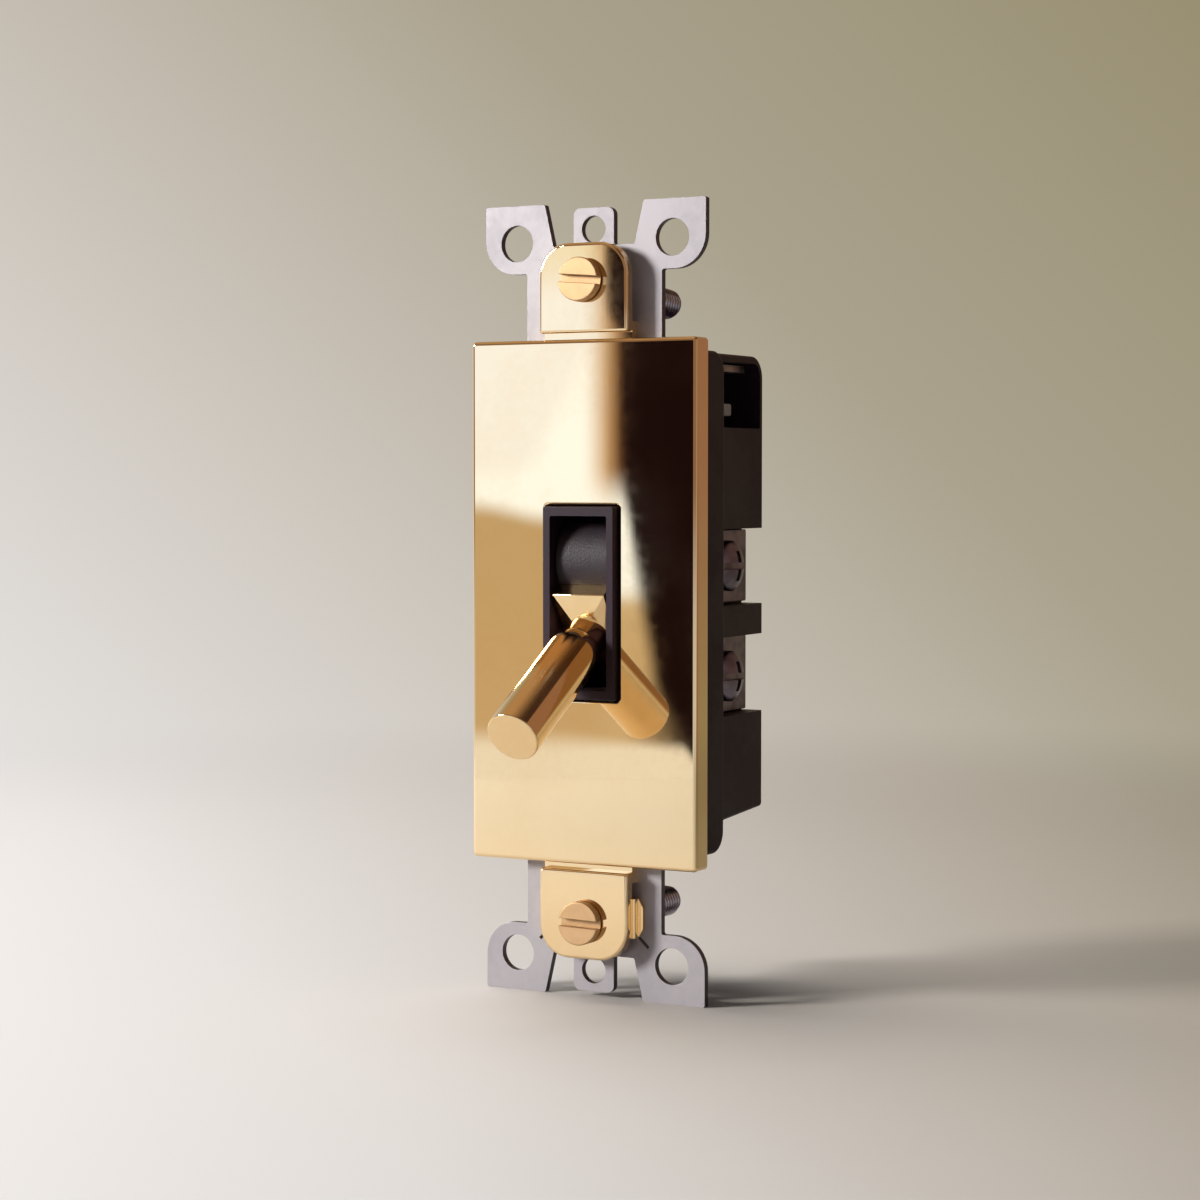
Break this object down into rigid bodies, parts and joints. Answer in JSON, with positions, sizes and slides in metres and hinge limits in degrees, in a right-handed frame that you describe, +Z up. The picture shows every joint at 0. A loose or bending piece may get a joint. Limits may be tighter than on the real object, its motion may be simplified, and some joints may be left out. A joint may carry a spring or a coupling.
{
  "type": "dolly switch",
  "caption": "Lever light switch on a slotted steel mounting strap: polished brass face, round brass dolly, dark moulded housing with side screw terminals.",
  "frame": {"origin": "middle of the mounting strap's rear face, at the centre of the four ear holes, where the switch meets the wall", "axes": "+Z up along the strap, +Y back into the wall box, +X to the right seen from the front"},
  "size_m": [0.0334, 0.0471, 0.1038],
  "materials": {
    "polished_brass": "mirror polished",
    "satin_steel": "satin zinc plated",
    "housing_plastic": "dark moulded, fine matt texture",
    "rocker_plastic": "black moulded, satin",
    "terminal_metal": "dark pewter plating",
    "rivet_steel": "plain",
    "spring_steel": "oiled wire",
    "contact_copper": "stamped, plain",
    "contact_silver": "turned",
    "cream_nylon": "natural",
    "stop_rubber": "moulded"
  },
  "bodies": {
    "frame": {"mounting_strap": "satin_steel", "face_plate": "polished_brass", "face_carrier": "polished_brass", "ground_clip": "polished_brass", "front_housing": "housing_plastic", "rear_housing": "housing_plastic", "housing_rivets": "rivet_steel", "earth_strip": "rivet_steel", "insulating_tab": "cream_nylon", "upper_terminal": "terminal_metal", "lower_terminal": "terminal_metal", "fixed_contact": "contact_silver", "stop_pad": "stop_rubber"},
    "dolly": {"dolly_lever": "polished_brass", "rocker_drum": "rocker_plastic", "pivot_pin": "rivet_steel", "toggle_spring": "spring_steel"},
    "cradle": {"contact_cradle": "contact_copper", "moving_contact": "contact_silver"},
    "upper_screw": {"upper_box_screw": "polished_brass"},
    "lower_screw": {"lower_box_screw": "polished_brass"},
    "upper_clamp": {"upper_terminal_screw": "terminal_metal"},
    "lower_clamp": {"lower_terminal_screw": "terminal_metal"}
  },
  "joints": [
    {"name": "dolly_tilt", "type": "hinge", "parent": "frame", "child": "dolly", "pos_m": [0, 0.0042, 0], "axis": [-1, 0, 0], "range_deg": [0, 63], "deforming": ["toggle_spring"]},
    {"name": "cradle_rock", "type": "hinge", "parent": "frame", "child": "cradle", "pos_m": [0, 0.01515, 0], "axis": [1, 0, 0], "range_deg": [0, 12]},
    {"name": "upper_screw_turn", "type": "hinge", "parent": "frame", "child": "upper_screw", "pos_m": [0, -0.00425, 0.04165], "axis": [-0.0383, 0.9972, -0.0645], "continuous": true},
    {"name": "lower_screw_turn", "type": "hinge", "parent": "frame", "child": "lower_screw", "pos_m": [0, -0.00425, -0.04165], "axis": [-0.0384, 0.999, -0.0244], "continuous": true},
    {"name": "upper_terminal_clamp", "type": "slide", "parent": "frame", "child": "upper_clamp", "axis": [1, 0, 0], "range_m": [0, 0.0025]},
    {"name": "lower_terminal_clamp", "type": "slide", "parent": "frame", "child": "lower_clamp", "axis": [1, 0, 0], "range_m": [0, 0.0025]}
  ],
  "couplings": [
    {"joint": "cradle_rock", "follows": "dolly_tilt", "ratio": 0.19048}
  ]
}
